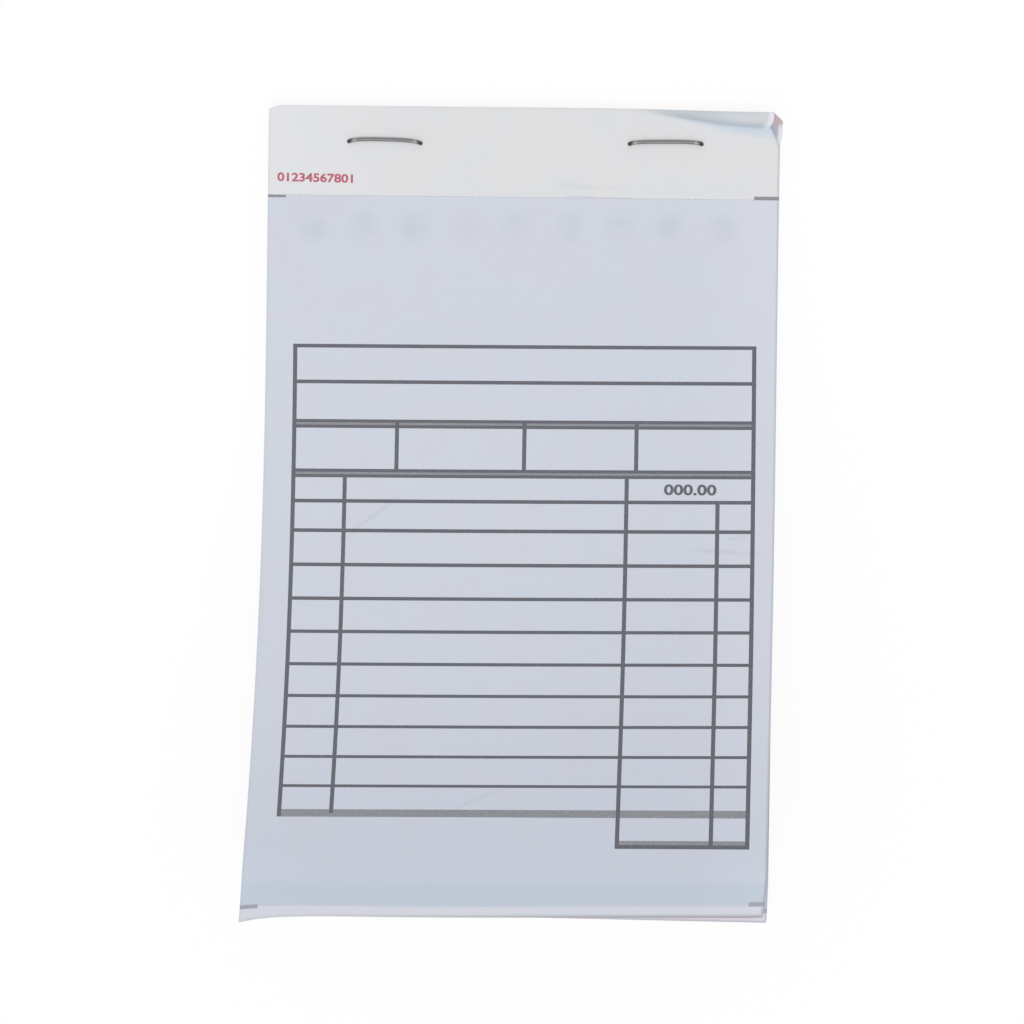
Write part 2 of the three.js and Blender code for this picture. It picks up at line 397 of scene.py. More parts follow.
def crease_at(u):
    """How far the corner's crease lies from the head."""
    return CREASE_NEAR + (CREASE_FAR - CREASE_NEAR) * smooth((u - CREASE_FROM) / (CREASE_TO - CREASE_FROM))


def bend_at(u):
    """How far from the head the paper starts to rise towards the crease."""
    widening = smooth((u - BEND_FROM) / (BEND_TO - BEND_FROM))
    return crease_at(u) + BEND_NARROW + (BEND_DEPTH - BEND_NARROW) * widening


def corner_share(u):
    """How fully the corner is bent, from nothing at the bend's start."""
    return smooth((u - BEND_FROM) / BEND_EASE)


def corner_rise(u, v):
    """Height of the bent corner: the slope grows up to the crease and then nearly levels."""
    crease, bend = crease_at(u), bend_at(u)
    up = np.clip(bend - v, 0, bend - crease)
    past = np.maximum(crease - v, 0)
    return corner_share(u) * (BEND_SLOPE * up ** 2 / (2 * (bend - crease)) + LIP_SLOPE * past)


def corner_loss(u, v):
    """How much nearer to the foot the bent paper comes, for its slope and its crumpling."""
    crease, bend = crease_at(u), bend_at(u)
    up = np.clip(bend - v, 0, bend - crease)
    return corner_share(u) * BEND_CRUMPLE * BEND_SLOPE ** 2 * up ** 3 / (6 * (bend - crease) ** 2)


def head_skew(u, bend):
    """How much nearer to the foot the head's right half lies, so that all sheets end in line."""
    skew = HEAD_SKEW * smooth((u - SKEW_FROM) / SKEW_OVER)
    return skew + (1 - bend ** 2) * corner_loss(u, np.zeros_like(u))


def worn(u, v, wear):
    """A point moved so that a head corner is cut off."""
    side, wide, deep = wear
    across, along = np.maximum(side * u - SIDE + wide, 0) / wide, np.maximum(deep - v, 0) / deep
    both = (across > 0) & (along > 0)
    share = np.where(both, np.maximum(across, along) / np.maximum(across + along, 1e-9), 1)
    return (np.where(both, side * (SIDE - wide + wide * across * share), u),
            np.where(both, deep - deep * along * share, v))


def crown_middle(stitch):
    """How far a stitch's middle lies across, and from the head, and its tilt."""
    side, from_side, from_head, tilt, _ = STITCHES[stitch]
    return side * (SIDE - from_side), from_head, tilt


def leg_places():
    """Where the stitches' legs go through a flat sheet."""
    for middle, from_head, tilt in map(crown_middle, STITCHES):
        tilt = math.radians(tilt)
        for along in (-CROWN_SPAN / 2, CROWN_SPAN / 2):
            yield middle + along * math.cos(tilt), from_head - along * math.sin(tilt)


def dimple(u, v):
    """The paper drawn in round each leg."""
    return sum(np.exp(-((u - a) ** 2 + (v - b) ** 2) / DIMPLE_SPREAD) for a, b in leg_places())


def ear(u, v):
    """How far a point lies in the very corner of the bend."""
    return smooth((u - SIDE + EAR_ACROSS) / EAR_ACROSS) * smooth((EAR_DOWN - v) / (EAR_DOWN / 2))


def ear_shift(u, v, index):
    """How far a point of the very corner has moved outwards."""
    if index == 0:
        fold = smooth((u - SIDE + EAR_ACROSS) / EAR_ACROSS) * np.exp(-(v - EAR_FOLD_DOWN) ** 2)
        return -EAR_IN * ear(u, v) - EAR_FOLD * fold
    return EAR_OUT * ear(u, v) * (index == 1)


def undulation(u, v):
    """Slow waves of a leaf that has been handled."""
    waves = sum(high * np.sin(u / across + v / down + start) for high, across, down, start in WAVES)
    return waves * smooth((v - PERFORATION) / WAVE_EASE)


def foot_corner(u, v, high=CORNER_HIGH):
    """How far a point lies in either foot corner, which has been flattened by handling."""
    return np.exp(-(SIDE - np.abs(u)) / CORNER_WIDE) * smooth((v - LENGTH + high) / high)


def foot_lengths(u, v):
    """How much lower a point near the foot lies than on a square page."""
    low = FOOT_LOW - FOOT_SKEW * smooth((u - FOOT_SKEW_FROM) / FOOT_SKEW_OVER)
    corner = CORNER_LOW * (u < 0) * (foot_corner(u, v) + foot_corner(u, v, CORNER_TIP))
    return low * smooth((v - LENGTH + FOOT_REACH) / FOOT_EASE) + corner


# Meshes of flat sheets


def stations(low, high, step, marks):
    """Even steps from low to high, less those that lie close to a mark, and the marks."""
    even = np.linspace(low, high, round((high - low) / step) + 1)
    kept = [low, high] + [x for x in even if all(abs(x - mark) > MARK_ROOM for mark in marks)]
    return np.unique(np.round(kept + [x for x in marks if low < x < high], 4))


def rim_of(columns, rows):
    """The points round a grid that is counted row by row."""
    rim = list(range(columns))
    rim += [j * columns + columns - 1 for j in range(1, rows)]
    rim += [(rows - 1) * columns + i for i in range(columns - 2, -1, -1)]
    return rim + [j * columns for j in range(rows - 2, 0, -1)]


def flat_sheet(name, step):
    """A flat closed sheet with its underside at zero, in metres. Its faces are marked as
    paper, reverse or an ink, and its rows follow the crease."""
    lines = printed_lines()
    at_crease = [share * CREASE_FAR for share in (0.07, 0.15, 0.26, 0.4, 0.53, 0.65, 0.77, 0.9, 1)]
    at_bend = [CREASE_FAR + k for k in (0.18, 0.3, 0.42, 0.6, 0.9, 1.3, 1.7, 2.2, 2.7, 3.2, 3.7, 4.3, 5.0)]
    at_fold = [PERFORATION + k * 0.1 for k in (-6, -4, -3, -2, -1, 1, 2, 3, 4, 6)]
    at_foot = [LENGTH - k for k in (0.4, 0.8, 1.2, 1.6)]
    at_side = [SIDE - k for k in (0.3, 0.6, 0.9, 1.3, 1.7, 2.2, 2.8)]
    columns_at = {u for line in lines for u in line[:2]} | set(at_side)
    rows_at = {v for line in lines for v in line[2:4]} | set(at_crease + at_bend + at_fold + at_foot)
    across = stations(-SIDE, SIDE, step, sorted(columns_at))
    down = stations(0, LENGTH, step, sorted(rows_at))
    u, v = np.meshgrid(across, down)
    u, v = turned_print(u, warped_rows(u, v))
    points = np.stack([u, HEAD - v], axis=-1).reshape(-1, 2)
    low = np.hstack([points, np.zeros((len(points), 1))])
    high = low + (0, 0, THICKNESS)
    columns, rows = len(across), len(down)
    count = len(points)
    middle_u = (across[:-1] + across[1:]) / 2
    middle_v = (down[:-1] + down[1:]) / 2
    faces, marks = [], []
    for j in range(rows - 1):
        for i in range(columns - 1):
            a = j * columns + i
            b, c, d = a + 1, a + columns + 1, a + columns
            inks = [mark for left, right, top, foot, mark in lines
                    if left < middle_u[i] < right and top < middle_v[j] < foot]
            faces.append((a + count, d + count, c + count, b + count))
            marks.append(min(inks, default=PAPER))
            faces.append((a, b, c, d))
            marks.append(REVERSE)
    rim = rim_of(columns, rows)
    for a, b in zip(rim, rim[1:] + rim[:1]):
        faces.append((a, a + count, b + count, b))
        marks.append(PAPER)
    mesh = bpy.data.meshes.new(name)
    mesh.from_pydata((np.vstack([low, high]) * MM).tolist(), [], faces)
    mesh.polygons.foreach_set("material_index", marks)
    for _ in range(FAINT_INK + 1):
        mesh.materials.append(None)
    mesh.update()
    return new_object(name, mesh)


def warped_rows(u, v):
    """Rows that lie along the crease and the start of the bend near the head."""
    end = 9
    straight = [0, CREASE_FAR, CREASE_FAR + BEND_DEPTH, end]
    bent = [np.zeros_like(u), crease_at(u), bend_at(u), np.full_like(u, end)]
    out = v.copy()
    for k in range(3):
        inside = (v >= straight[k]) & (v < straight[k + 1])
        share = (v - straight[k]) / (straight[k + 1] - straight[k])
        out = np.where(inside, bent[k] + share * (bent[k + 1] - bent[k]), out)
    return out


def slit_tree():
    """A row of cutters for the perforation: one slit's solid, repeated along a line."""
    inputs = numbers(Width=2 * SIDE * MM, Slit_Length=SLIT_LENGTH * MM, Slit_Width=SLIT_WIDTH * MM,
                     Depth=MM, Line=HINGE.y * MM)
    inputs.update({"Slits": ("NodeSocketInt", SLITS), "Material": ("NodeSocketMaterial", None)})
    tree, given, result = new_group("Perforation slits", "GeometryNodeTree", inputs, GEOMETRY)
    value = {label: Formula(tree, given.outputs[label]) for label in inputs}
    pitch = value["Width"] / value["Slits"]
    start = node(tree, "ShaderNodeCombineXYZ", {"X": (pitch - value["Width"]) * 0.5, "Y": value["Line"]})
    offset = node(tree, "ShaderNodeCombineXYZ", {"X": pitch})
    line = node(tree, "GeometryNodeMeshLine",
                {"Count": value["Slits"], "Start Location": start.outputs[0], "Offset": offset.outputs[0]})
    size = node(tree, "ShaderNodeCombineXYZ",
                {"X": value["Slit Length"], "Y": value["Slit Width"], "Z": value["Depth"]})
    slit = node(tree, "GeometryNodeMeshCube", {"Size": size.outputs[0]})
    copies = node(tree, "GeometryNodeInstanceOnPoints",
                  {"Points": line.outputs[0], "Instance": slit.outputs[0]})
    return end_tree(tree, copies.outputs[0], value["Material"], result)


def cutters():
    """Everything that is punched out of a flat sheet: the slits and the holes for the legs."""
    slits = new_object("cutters", bpy.data.meshes.new("cutters"))
    add_tree(slits, slit_tree(), {})
    take_result(slits, "cutters")
    shape = bmesh.new()
    shape.from_mesh(slits.data)
    radius = (WIRE / 2 + HOLE_CLEARANCE) * MM
    for u, v in leg_places():
        place = Matrix.Translation(Vector((u, HEAD - v, 0)) * MM)
        bmesh.ops.create_cone(shape, cap_ends=True, segments=24, radius1=radius, radius2=radius,
                              depth=MM, matrix=place)
    shape.to_mesh(slits.data)
    shape.free()
    return slits


def punched(sheet, tool):
    """Cuts the slits and holes out of a flat sheet."""
    cut = sheet.modifiers.new("cut", "BOOLEAN")
    cut.operation = "DIFFERENCE"
    cut.solver = "EXACT"
    cut.object = tool
    return take_result(sheet, sheet.name)


# Curl of a sheet


def curl_tree():
    """Moves the points of a flat sheet along an arc that starts on a slanted line."""
    labels = ("Slant", "Start", "Arc", "Radius", "Head", "Fade From", "Fade Over")
    inputs = {"Geometry": ("NodeSocketGeometry", None)}
    inputs.update({label: ("NodeSocketFloat", 0.0) for label in labels})
    tree, given, result = new_group("Sheet curl", "GeometryNodeTree", inputs, GEOMETRY)
    slant, start, arc, radius, head, fade_from, fade_over = (
        Formula(tree, given.outputs[label]) for label in labels)
    place = node(tree, "ShaderNodeSeparateXYZ", {0: node(tree, "GeometryNodeInputPosition").outputs[0]})
    x, y, z = (Formula(tree, socket) for socket in place.outputs)
    past = x * slant.sine() + (head - y) * slant.cosine() - start
    turn = past.most(0.0).least(arc) / radius
    straight = (past - arc).most(0.0)
    half = (turn * 0.5).sine()
    fade = (head - y - fade_from).between(0.0, fade_over)
    rise = fade * (2 * radius * half * half + straight * turn.sine())
    shift = fade * (past.least(0.0) + radius * turn.sine() + straight * turn.cosine() - past)
    moved = node(tree, "ShaderNodeCombineXYZ",
                 {"X": x + shift * slant.sine(), "Y": y - shift * slant.cosine(), "Z": z + rise})
    curled = node(tree, "GeometryNodeSetPosition",
                  {"Geometry": given.outputs["Geometry"], "Position": moved.outputs[0]})
    real = node(tree, "GeometryNodeRealizeInstances", {"Geometry": curled.outputs[0]})
    tree.links.new(real.outputs[0], result.inputs[0])
    return tree


def curl_share(index):
    """How strongly a sheet curls: the top one fully, those that lie flat hardly at all."""
    if index < CURLED:
        return 1 - index * CURL_LOSS
    return REST_CURL * (1 - (index - CURLED) / (SHEETS - CURLED)) ** 2


def embolden(letters):
    """Moves the sides of figures outwards."""
    bmesh.ops.recalc_face_normals(letters, faces=letters.faces)
    moves = []
    for vert in letters.verts:
        sides = [face.normal for face in vert.link_faces if abs(face.normal.z) < 0.5]
        way = sum(sides, Vector()).normalized()
        moves.append(way * BOLDNESS / max(0.5, way.dot(sides[0])))
    for vert, move in zip(letters.verts, moves):
        vert.co += move


def add_print(shape, body, box, fall, ink):
    """Sets a line of plain figures into a flat sheet's mesh, as a film of ink."""
    left, right, top, foot = box
    curve = bpy.data.curves.new("figures", "FONT")
    curve.body = body
    curve.extrude = 0.01
    curve.resolution_u = 5
    for _ in range(FAINT_INK + 1):
        curve.materials.append(None)
    for figure in curve.body_format:
        figure.material_index = ink
    holder = new_object("figures", curve)
    mesh = plain_mesh(holder)
    bpy.data.objects.remove(holder)
    letters = bmesh.new()
    letters.from_mesh(mesh)
    bmesh.ops.remove_doubles(letters, verts=letters.verts, dist=1e-5)
    embolden(letters)
    points = np.array([vert.co for vert in letters.verts])
    low, high = points.min(0), points.max(0)
    share = (points - low) / (high - low)
    for vert, (a, b, c) in zip(letters.verts, share):
        u = left + a * (right - left)
        v = foot - b * (foot - top) + a * fall
        vert.co = Vector((u, HEAD - v, THICKNESS + INK_HEIGHT * ((1 + INK_SUNK) * c - INK_SUNK))) * MM
    bmesh.ops.recalc_face_normals(letters, faces=letters.faces)
    letters.to_mesh(mesh)
    letters.free()
    shape.from_mesh(mesh)


def sheet_mesh(flat, index, finishes):
    """One sheet's mesh: the flat one with its figures, relief, attributes and page map."""
    shape = bmesh.new()
    shape.from_mesh(flat.data)
    add_print(shape, f"{FIRST_NUMBER + index // 2:011d}", NUMBER_BOX, NUMBER_FALL, NUMBER_INK)
    add_print(shape, HEADING_FIGURES, HEADING_BOX, 0, FORM_INK)
    mesh = bpy.data.meshes.new("sheet")
    for finish in finishes:
        mesh.materials.append(finish)
    shape.to_mesh(mesh)
    shape.free()
    points = np.zeros(3 * len(mesh.vertices))
    mesh.vertices.foreach_get("co", points)
    points = points.reshape(-1, 3) / MM
    u, v = points[:, 0].copy(), HEAD - points[:, 1]
    add_map(mesh, "page", np.stack([(u + SIDE) / PAGE_UNIT, 1 - v / PAGE_UNIT], axis=-1))
    handled = curl_share(index) if index < CURLED else 0
    bend = max(0, 1 - index / BENT)
    tuck = np.clip((v - LENGTH + TUCK_DOWN) / TUCK_DOWN, 0, 1) ** 2
    tuck *= smooth((u - SIDE + TUCK_ACROSS) / TUCK_ACROSS)
    points[:, 0], down = worn(*worn(u, v, LEFT_WEAR), RIGHT_WEAR if index else TOP_WEAR)
    points[:, 0] += ear_shift(u, v, index) - (FOOT_TUCK if handled else LOWER_TUCK) * tuck
    points[:, 1] = HEAD - down - bend ** 2 * corner_loss(u, v) - handled * foot_lengths(u, v)
    points[:, 1] -= head_skew(u, bend) * smooth((SKEW_REACH - v) / SKEW_REACH)
    points[:, 2] += (SHEETS - 1 - index) * SHEET_STEP + LOWEST_SHEET
    points[:, 2] += bend * corner_rise(u, v) - DIMPLE_DEPTH * (1 - index / SHEETS) * dimple(u, v)
    points[:, 2] += WAVE_HEIGHT * handled * undulation(u, v) - FOOT_PRESSED * handled * foot_corner(u, v)
    mesh.vertices.foreach_set("co", (points * MM).ravel())
    # Shares of the bent corner that the finishes read for painted shade and a painted highlight: the
    # crease, the slope below it, the lip above it, and the copy's very corner
    past = crease_at(u) - v
    width = np.where(past > 0, CREASE_ABOVE, CREASE_BELOW)
    bent = corner_share(u) * bend
    add_share(mesh, "crease", np.exp(-(past / width) ** 2) * bent)
    slope = smooth(SLOPE_GROWTH * (bend_at(u) - v) / BEND_DEPTH) * (past < SLOPE_PAST)
    add_share(mesh, "slope", slope * bent)
    add_share(mesh, "lip", smooth(past / LIP_EASE) * bent)
    add_share(mesh, "ear", ear(u, v) * (index == 1))
    mesh.update()
    return mesh


def add_map(mesh, name, places):
    """A UV map that takes the place of each point."""
    corners = np.zeros(len(mesh.loops), dtype=int)
    mesh.loops.foreach_get("vertex_index", corners)
    layer = mesh.uv_layers.new(name=name)
    layer.data.foreach_set("uv", places[corners].astype(np.float32).ravel())


def add_share(mesh, name, values):
    """An attribute of a mesh's points, which a finish reads."""
    attribute = mesh.attributes.new(name, "FLOAT", "POINT")
    attribute.data.foreach_set("value", values.astype(np.float32))


# Finishes


def page_place(tree):
    """The page map, and across and down on the page in millimetres."""
    page = node(tree, "ShaderNodeUVMap", uv_map="page").outputs[0]
    split = node(tree, "ShaderNodeSeparateXYZ", {0: page})
    across = Formula(tree, split.outputs[0]) * PAGE_UNIT - SIDE
    down = (1 - Formula(tree, split.outputs[1])) * PAGE_UNIT
    return page, across, down


def noise(tree, place, scale, detail, roughness=0.5):
    """Cloudy noise, from 0 to 1."""
    made = node(tree, "ShaderNodeTexNoise",
                {"Vector": place, "Scale": scale, "Detail": detail, "Roughness": roughness})
    return Formula(tree, made.outputs["Fac"])


def stretched(tree, place, scale, turn=0.0):
    """A place for noise that runs longer one way than the other."""
    made = node(tree, "ShaderNodeMapping", {"Vector": place, "Rotation": (0.0, 0.0, turn), "Scale": scale})
    return made.outputs[0]


def paper_fibre_group():
    """Cloudiness of the pulp and the height of its fibres, from the page map."""
    tree, given, result = new_group(
        "Paper fibre", "ShaderNodeTree",
        {"Page": ("NodeSocketVector", None), "Cloud Scale": ("NodeSocketFloat", 14.0),
         "Fibre Scale": ("NodeSocketFloat", 900.0)},
        {"Cloud": "NodeSocketFloat", "Height": "NodeSocketFloat"})
    page = given.outputs["Page"]
    put(tree, noise(tree, page, given.outputs["Cloud Scale"], 5.0, 0.62), result.inputs["Cloud"])
    along = stretched(tree, page, (1.0, 0.35, 1.0))
    put(tree, noise(tree, along, given.outputs["Fibre Scale"], 3.0, 0.7), result.inputs["Height"])
    return tree


def mask_group(name, **inputs):
    """A shader group that puts out one mask: its tree, its end node and its inputs."""
    tree, given, result = new_group(name, "ShaderNodeTree", numbers(**inputs), {"Mask": "NodeSocketFloat"})
    return tree, result, [Formula(tree, given.outputs[label.replace("_", " ")]) for label in inputs]


def soft_zone_group():
    """1 between two heights of the page, with soft ends."""
    tree, result, (down, top, foot, softness) = mask_group(
        "Soft zone", Down=0.0, Top=0.0, Foot=1.0, Softness=0.5)
    mask = down.between(top, top + softness) * down.between(foot, foot + softness, 1.0, 0.0)
    put(tree, mask, result.inputs["Mask"])
    return tree


def scuff_group():
    """A faint straight rub between two places of the page."""
    tree, result, (across, down, middle_across, middle_down, turn, length, width) = mask_group(
        "Scuff", Across=0.0, Down=0.0, Middle_Across=0.0, Middle_Down=0.0, Turn=0.0, Length=10.0, Width=1.0)
    a, b = across - middle_across, down - middle_down
    along = (a * turn.cosine() + b * turn.sine()).size() / (length * 0.5)
    beside = (b * turn.cosine() - a * turn.sine()).size() / (width * 0.5)
    mask = along.between(0.4, 1.0, 1.0, 0.0) * beside.between(0.0, 1.0, 1.0, 0.0)
    put(tree, mask, result.inputs["Mask"])
    return tree


def edge_group():
    """1 on the outermost rim of the page, where the finishes darken it."""
    tree, result, (across, down, width) = mask_group("Page edge", Across=0.0, Down=0.0, Width=0.5)
    from_side = SIDE - across.size()
    from_end = down.least(LENGTH - down)
    mask = (from_side.least(from_end) / width).between(0.0, 1.0, 1.0, 0.0)
    put(tree, mask, result.inputs["Mask"])
    return tree


def srgb(red, green, blue):
    """A colour written as it shows, from 0 to 255, as the linear one that shaders take."""
    def linear(value):
        value /= 255
        return value / 12.92 if value <= 0.04045 else ((value + 0.055) / 1.055) ** 2.4
    return (linear(red), linear(green), linear(blue), 1.0)


def mixed(tree, share, first, second):
    """A colour between two."""
    made = node(tree, "ShaderNodeMix", data_type="RGBA")
    put(tree, share, made.inputs[0])
    put(tree, first, made.inputs[6])
    put(tree, second, made.inputs[7])
    return made.outputs[2]


def placed(tree, group, output="Mask", **values):
    """A group's output, with its inputs named by words joined with _."""
    made = node(tree, "ShaderNodeGroup", node_tree=group)
    for label, value in values.items():
        put(tree, value, made.inputs[label.replace("_", " ")])
    return Formula(tree, made.outputs[output])


def new_material(name, roughness=0.8, specular=0.2):
    """A material with one Principled shader, which is returned with its tree."""
    material = bpy.data.materials.new(name)
    material.use_nodes = True
    tree = material.node_tree
    shader = tree.nodes["Principled BSDF"]
    shader.inputs["Roughness"].default_value = roughness
    shader.inputs["Specular IOR Level"].default_value = specular
    return material, tree, shader


def add_bump(tree, shader, height, strength, distance):
    """Relief of the surface, distance in millimetres."""
    bump = node(tree, "ShaderNodeBump", {"Strength": strength, "Distance": distance * MM, "Height": height})
    tree.links.new(bump.outputs[0], shader.inputs["Normal"])


GROUPS = {"fibre": paper_fibre_group(), "zone": soft_zone_group(), "scuff": scuff_group(),
          "edge": edge_group()}

# Scuffs: middle across, middle down, turn in degrees, length, width, strength
SCUFFS = ((-27.5, 79.5, -38, 17, 1.6, 0.5), (-4.0, 134.5, -24, 15, 1.4, 0.45),
          (41.0, 86.3, 3, 17, 1.3, 0.5), (43.5, 83.2, -14, 9, 1.0, 0.4),
          (14.5, 17.3, 1, 16, 0.8, 0.45), (13.0, 15.3, 3, 17, 2.0, 0.2))

# Smudges: how many, middles of the first and the last across, middle down, and how far from
# its middle one starts and ends to fade
SMUDGES = 9
SMUDGE_FIRST, SMUDGE_LAST, SMUDGE_DOWN = -40.9, 38.9, 23.4
SMUDGE_CORE, SMUDGE_EDGE = 1.0, 4.2

# The carbon coat: where it ends and how softly, and a band above its foot in painted shade, where the page
# curves
COAT_FOOT, COAT_SOFTNESS = 155.5, 0.25
SHADE_BAND_TOP, SHADE_BAND_FOOT, SHADE_BAND_SOFTNESS = 150.2, 154.6, 1.6

# The grain of paper: its relief, its clouds' scale in a copy and in the coat, its fibres' in ink
PAPER_RELIEF = 0.02
COPY_CLOUDS, COAT_CLOUDS, INK_FIBRES = 18.0, 22.0, 700.0


def fibres(tree, page, cloud_scale=14.0, fibre_scale=900.0):
    """Cloudiness and fibre height of a paper."""
    made = node(tree, "ShaderNodeGroup", node_tree=GROUPS["fibre"],
                inputs={"Page": page, "Cloud Scale": cloud_scale, "Fibre Scale": fibre_scale})
    return [Formula(tree, made.outputs[label]) for label in ("Cloud", "Height")]


def carried(tree, *names):
    """The shares that a mesh carries as attributes."""
    return [Formula(tree, node(tree, "ShaderNodeAttribute", attribute_name=name).outputs["Fac"])
            for name in names]


def coat_zone(tree, down):
    """Where carbon coats the reverse of an original."""
    return placed(tree, GROUPS["zone"], Down=down, Top=PERFORATION - 0.1, Foot=COAT_FOOT,
                  Softness=COAT_SOFTNESS)


def smudges(across, down, cloud):
    """A row of faint blots below the perforation, where the carbon coat shows through."""
    pitch = (SMUDGE_LAST - SMUDGE_FIRST) / (SMUDGES - 1)
    beside = (across - SMUDGE_FIRST).wrapped(-pitch / 2, pitch / 2).size()
    end = (SMUDGE_LAST - SMUDGE_FIRST + pitch) / 2
    inside = (across - (SMUDGE_FIRST + SMUDGE_LAST) / 2).size().between(end - 0.5, end, 1.0, 0.0)
    above = down - SMUDGE_DOWN
    far = (beside * beside + above * above).root()
    return inside * far.between(SMUDGE_CORE, SMUDGE_EDGE, 1.0, 0.0) * cloud.between(0.3, 0.65)


def original_paper():
    """White paper that is neutral on the stub and bluish where carbon coats its reverse."""
    material, tree, shader = new_material("original paper", 0.82)
    page, across, down = page_place(tree)
    cloud, height = fibres(tree, page)
    coat = coat_zone(tree, down)
    shade_band = placed(tree, GROUPS["zone"], Down=down, Top=SHADE_BAND_TOP, Foot=SHADE_BAND_FOOT, Softness=SHADE_BAND_SOFTNESS)
    edge = placed(tree, GROUPS["edge"], Across=across, Down=down, Width=0.6)
    crease, slope, lip = carried(tree, "crease", "slope", "lip")
    colour = mixed(tree, cloud.between(0.3, 0.7), srgb(224, 223, 223), srgb(220, 222, 226))
    colour = mixed(tree, across.between(-50.0, -15.0, 0.4, 0.0), colour, srgb(231, 232, 238))
    coated = mixed(tree, cloud.between(0.3, 0.7), srgb(210, 212, 223), srgb(207, 214, 225))
    # Painted light: the coated page lighter towards its right side, where the curl shades it more
    coated = mixed(tree, across.between(32.0, 48.0) * 0.3, coated, srgb(221, 222, 235))
    colour = mixed(tree, coat, colour, coated)
    colour = mixed(tree, down.between(COAT_FOOT, COAT_FOOT + 0.4) * 0.9, colour, srgb(217, 220, 229))
    # Painted shade: darker and bluer towards the foot of the curled page
    colour = mixed(tree, coat * down.between(110.0, 146.0) * 0.35, colour, srgb(197, 205, 221))
    # Painted shade: a darker band just above the foot, where the page curves
    colour = mixed(tree, shade_band * 0.5, colour, srgb(190, 204, 218))
    colour = mixed(tree, smudges(across, down, cloud) * 0.45, colour, srgb(190, 196, 208))
    # Painted shade on the slope that rises to the crease
    colour = mixed(tree, slope * 0.85, colour, srgb(199, 210, 221))
    # Painted shade on the lip above the crease, lighter towards the right
    raised = mixed(tree, across.between(32.0, 45.0), srgb(193, 201, 206), srgb(205, 210, 215))
    colour = mixed(tree, lip * 0.9, colour, raised)
    # Painted shade: a dark line along the crease, fading out near the right edge
    colour = mixed(tree, crease * across.between(46.6, 48.4, 0.62, 0.0), colour, srgb(160, 172, 182))
    for middle_across, middle_down, turn, length, width, strength in SCUFFS:
        mask = placed(tree, GROUPS["scuff"], Across=across, Down=down, Middle_Across=middle_across,
                      Middle_Down=middle_down, Turn=math.radians(turn), Length=length, Width=width)
        colour = mixed(tree, mask * strength * cloud.between(0.25, 0.6), colour, srgb(188, 192, 206))
    # A darker rim along the page's edges, less at its left and near its head
    rim_darkening = across.between(-60.0, 45.0, 0.2, 0.7) * down.between(0.0, 4.0, 0.3, 1.0)
    colour = mixed(tree, edge * rim_darkening, colour, srgb(172, 180, 188))
    # Painted highlight where the top original's corner rolls over, near its right edge
    colour = mixed(tree, lip * across.between(48.1, 48.9) * 0.9, colour, srgb(230, 228, 238))
    put(tree, colour, shader.inputs["Base Color"])
    put(tree, height.between(0.3, 0.7, 0.78, 0.9), shader.inputs["Roughness"])
    add_bump(tree, shader, height, 0.35, PAPER_RELIEF)
    return material


def copy_paper():
    """Pink paper, coloured in the pulp."""
    material, tree, shader = new_material("copy paper", 0.85)
    page, across, down = page_place(tree)
    cloud, height = fibres(tree, page, COPY_CLOUDS)
    edge = placed(tree, GROUPS["edge"], Across=across, Down=down, Width=0.35)
    colour = mixed(tree, cloud.between(0.3, 0.7), srgb(232, 196, 203), srgb(227, 188, 198))
    colour = mixed(tree, edge * 0.85, colour, srgb(206, 197, 203))
    # The very corner of the copy, seen past the rolled original: painted shade, grey-pink at its top and
    # lavender in the gap under the original, and painted light, pale at its outer edge
    corner, = carried(tree, "ear")
    shaded = mixed(tree, across.between(SIDE - 1.1, SIDE - 0.5), srgb(170, 173, 187), srgb(222, 222, 230))
    painted_light = mixed(tree, down.between(1.8, 3.2), srgb(188, 173, 179), shaded)
    colour = mixed(tree, corner.between(0.02, 0.2) * 0.95, colour, painted_light)
    put(tree, colour, shader.inputs["Base Color"])
    add_bump(tree, shader, height, 0.35, PAPER_RELIEF)
    return material


def carbon_coat():
    """The reverse of an original: a slate blue coat between clean margins, thin in places."""
    material, tree, shader = new_material("carbon coat", 0.6, 0.35)
    page, _, down = page_place(tree)
    cloud, height = fibres(tree, page, COAT_CLOUDS)
    blue = mixed(tree, cloud.between(0.25, 0.75), srgb(84, 92, 126), srgb(98, 106, 138))
    blue = mixed(tree, height.between(0.55, 0.8) * 0.5, blue, srgb(140, 147, 172))
    put(tree, mixed(tree, coat_zone(tree, down), srgb(224, 223, 224), blue), shader.inputs["Base Color"])
    put(tree, height.between(0.3, 0.7, 0.5, 0.72), shader.inputs["Roughness"])
    add_bump(tree, shader, height, 0.3, PAPER_RELIEF)
    return material


def ink(name, dense, thin):
    """Printing ink that lies thinner over the fibres."""
    material, tree, shader = new_material(name, 0.65, 0.3)
    page = node(tree, "ShaderNodeUVMap", uv_map="page").outputs[0]
    _, height = fibres(tree, page, fibre_scale=INK_FIBRES)
    put(tree, mixed(tree, height.between(0.45, 0.75), dense, thin), shader.inputs["Base Color"])
    put(tree, height.between(0.3, 0.7, 0.6, 0.8), shader.inputs["Roughness"])
    return material


